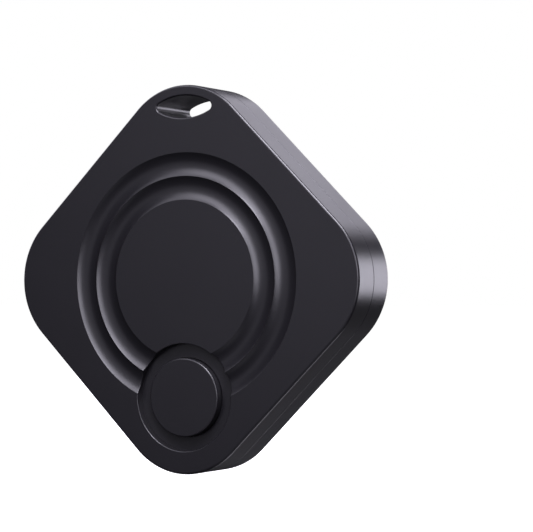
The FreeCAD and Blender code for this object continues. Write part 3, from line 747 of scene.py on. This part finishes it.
# The colour, roughness and metalness of each inner piece.
CAD_FINISH = {
    "shell_seal": ((0.02, 0.02, 0.024), 0.7, 0.0),
    "switch_housing": ((0.012, 0.012, 0.012), 0.5, 0.0),
    "switch_cover": ((0.55, 0.55, 0.53), 0.3, 1.0),
    "switch_plunger": ((0.62, 0.6, 0.52), 0.5, 0.0),
    "switch_dome": ((0.6, 0.6, 0.58), 0.25, 1.0),
    "switch_terminals": ((0.6, 0.58, 0.52), 0.35, 1.0),
    "circuit_board": ((0.008, 0.06, 0.025), 0.35, 0.0),
    "board_screws": ((0.42, 0.42, 0.43), 0.35, 1.0),
    "radio_chip": ((0.012, 0.012, 0.013), 0.55, 0.0),
    "main_crystal": ((0.6, 0.58, 0.53), 0.28, 1.0),
    "sleep_crystal": ((0.6, 0.58, 0.53), 0.28, 1.0),
    "chip_antenna": ((0.68, 0.64, 0.55), 0.6, 0.0),
    "buzzer_inductor": ((0.03, 0.03, 0.033), 0.7, 0.0),
    "buzzer_transistor": ((0.012, 0.012, 0.013), 0.5, 0.0),
    "capacitors": ((0.32, 0.2, 0.1), 0.5, 0.0),
    "resistors": ((0.015, 0.015, 0.016), 0.35, 0.0),
    "test_pads": ((0.75, 0.52, 0.18), 0.3, 1.0),
    "negative_contact": ((0.62, 0.6, 0.56), 0.28, 1.0),
    "positive_contacts": ((0.62, 0.6, 0.56), 0.28, 1.0),
    "cell_can": ((0.6, 0.6, 0.59), 0.25, 1.0),
    "cell_cap": ((0.6, 0.6, 0.59), 0.3, 1.0),
    "cell_gasket": ((0.05, 0.05, 0.055), 0.5, 0.0),
    "cell_cathode": ((0.015, 0.015, 0.015), 0.8, 0.0),
    "cell_separator": ((0.7, 0.7, 0.66), 0.9, 0.0),
    "cell_anode": ((0.5, 0.5, 0.52), 0.45, 1.0),
    "buzzer_adhesive": ((0.02, 0.02, 0.02), 0.8, 0.0),
    "buzzer_plate": ((0.72, 0.5, 0.2), 0.3, 1.0),
    "buzzer_ceramic": ((0.66, 0.64, 0.58), 0.4, 0.0),
    "buzzer_wire_positive": ((0.32, 0.01, 0.01), 0.4, 0.0),
    "buzzer_wire_negative": ((0.012, 0.012, 0.012), 0.4, 0.0),
    "solder_joints": ((0.62, 0.62, 0.62), 0.25, 1.0),
}


def dress(obj, material):
    obj.data.materials.clear()
    obj.data.materials.append(material)


def dress_inner_parts():
    for node, (colour, roughness, metallic) in CAD_FINISH.items():
        dress(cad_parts[node], plain_material(node + "_finish", colour, roughness, metallic))


# ---- build ----
case_finish = case_material("case_plastic_finish", CASE_ROUGHNESS)
button_finish = case_material("button_plastic_finish", BUTTON_ROUGHNESS)
for make, body, node, slot, finish in (
    (front_shell, "case", "front_shell", "case_plastic", case_finish),
    (rear_shell, "rear_cover", "rear_shell", "case_plastic", case_finish),
    (button_cap, "button", "button_cap", "button_plastic", button_finish),
):
    piece = make()
    dress(piece, finish)
    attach(piece, body)
    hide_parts(node)
dress_inner_parts()

# ---- camera: turned to the tag's right, at its own height ----
# CAMERA_OFFSET is where the middle of the rings lies from the camera, in millimetres: to the right,
# up, and forward as a negative depth.
CAMERA_TURN = math.radians(28.5)
CAMERA_TILT = math.radians(0.75)
CAMERA_OFFSET = Vector((-8.36, -1.72, -257.0))
CAMERA_LENS = 137.5
CAMERA_SENSOR = 36.0
CAMERA_NEAREST = 0.01


def make_camera():
    data = bpy.data.cameras.new("photo_camera")
    data.lens = CAMERA_LENS
    data.sensor_width = CAMERA_SENSOR
    data.clip_start = CAMERA_NEAREST
    camera = bpy.data.objects.new("photo_camera", data)
    bpy.context.scene.collection.objects.link(camera)
    look = Matrix.Rotation(-CAMERA_TILT, 3, "X") @ Matrix.Rotation(-CAMERA_TURN, 3, "Y")
    place = look.transposed() @ -CAMERA_OFFSET
    turn = Matrix(((1, 0, 0), (0, 0, -1), (0, 1, 0))) @ look.transposed()
    camera.matrix_world = Matrix.Translation(STAND @ place) @ turn.to_4x4()
    bpy.context.scene.camera = camera


make_camera()

# ---- light ----
CENTRE = STAND @ Vector((0, 0, 0))
LAVENDER = (0.9, 0.87, 1.0)
ROOM_COLOUR = (0.9, 0.88, 1.0)
ROOM_STRENGTH = 0.06
WHITE = (1.0, 1.0, 1.0)
LIGHT_DISTANCE = 0.3

# Each soft box: how far it stands round from straight ahead to the tag's right, how far up it
# stands, both in degrees, then its side in metres and how brightly its surface glows.
SOFT_BOXES = {
    "key": (20, 40, 0.15, 8.0),
    "key_left": (-20, 45, 0.15, 5.0),
    "key_right": (32, 10, 0.15, 7.0),
    "high_right": (50, 60, 0.15, 25.0),
    "high_left": (-60, 55, 0.15, 2.0),
    "front_fill": (-10, 20, 0.3, 0.55),
    "rear_side": (150, 2, 0.12, 6.0),
    "rear_top": (180, 35, 0.15, 2.0),
    "rear_low": (150, -60, 0.15, 3.5),
    "rear_floor": (180, -30, 0.2, 0.08),
    "front_low": (20, -50, 0.15, 0.5),
    "rear_room": (-115, 25, 0.3, 2.0),
}


def soft_box(name, turn, rise, side, glow):
    """A square light that faces the tag."""
    data = bpy.data.lights.new(name, "AREA")
    data.size = side
    data.energy = glow * math.pi * side**2
    data.color = LAVENDER
    light = bpy.data.objects.new(name, data)
    bpy.context.scene.collection.objects.link(light)
    turn, rise = math.radians(turn), math.radians(rise)
    way = Vector((math.sin(turn) * math.cos(rise), -math.cos(turn) * math.cos(rise), math.sin(rise)))
    facing = way.to_track_quat("Z", "Y").to_matrix().to_4x4()
    light.matrix_world = Matrix.Translation(CENTRE + way * LIGHT_DISTANCE) @ facing
    light.visible_camera = False


for box_name, settings in SOFT_BOXES.items():
    soft_box(box_name, *settings)


def make_world():
    """White behind the tag, a dim room in what it reflects."""
    world = bpy.data.worlds.new("studio")
    world.use_nodes = True
    tree = world.node_tree
    tree.nodes.clear()
    path = tree.nodes.new("ShaderNodeLightPath")
    seen = tree.nodes.new("ShaderNodeBackground")
    seen.inputs["Color"].default_value = (*WHITE, 1)
    room = tree.nodes.new("ShaderNodeBackground")
    room.inputs["Color"].default_value = (*ROOM_COLOUR, 1)
    room.inputs["Strength"].default_value = ROOM_STRENGTH
    mix = tree.nodes.new("ShaderNodeMixShader")
    out = tree.nodes.new("ShaderNodeOutputWorld")
    tree.links.new(path.outputs["Is Camera Ray"], mix.inputs["Fac"])
    tree.links.new(room.outputs[0], mix.inputs[1])
    tree.links.new(seen.outputs[0], mix.inputs[2])
    tree.links.new(mix.outputs[0], out.inputs["Surface"])
    bpy.context.scene.world = world


make_world()


FLOOR_DROP = 0.002
FLOOR_REACH = 3.0
FLOOR_COLOUR = (0.8, 0.8, 0.8)


def make_floor():
    """A pale floor under the lowest corner, evenly lit, that throws no light back on the tag."""
    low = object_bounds()[0]
    level = low[2] - FLOOR_DROP
    mesh = bpy.data.meshes.new("floor")
    signs = ((-1, -1), (1, -1), (1, 1), (-1, 1))
    corners = [(x * FLOOR_REACH, y * FLOOR_REACH, level) for x, y in signs]
    mesh.from_pydata(corners, [], [(0, 1, 2, 3)])
    floor = bpy.data.objects.new("floor", mesh)
    bpy.context.scene.collection.objects.link(floor)
    shader = Shader("floor_finish")
    shader.set(Base_Color=FLOOR_COLOUR, Roughness=0.9, Emission_Color=WHITE, Emission_Strength=1.0)
    dress(floor, shader.material)
    floor.visible_glossy = False
    floor.visible_diffuse = False


make_floor()
bpy.context.scene.view_settings.view_transform = "Standard"
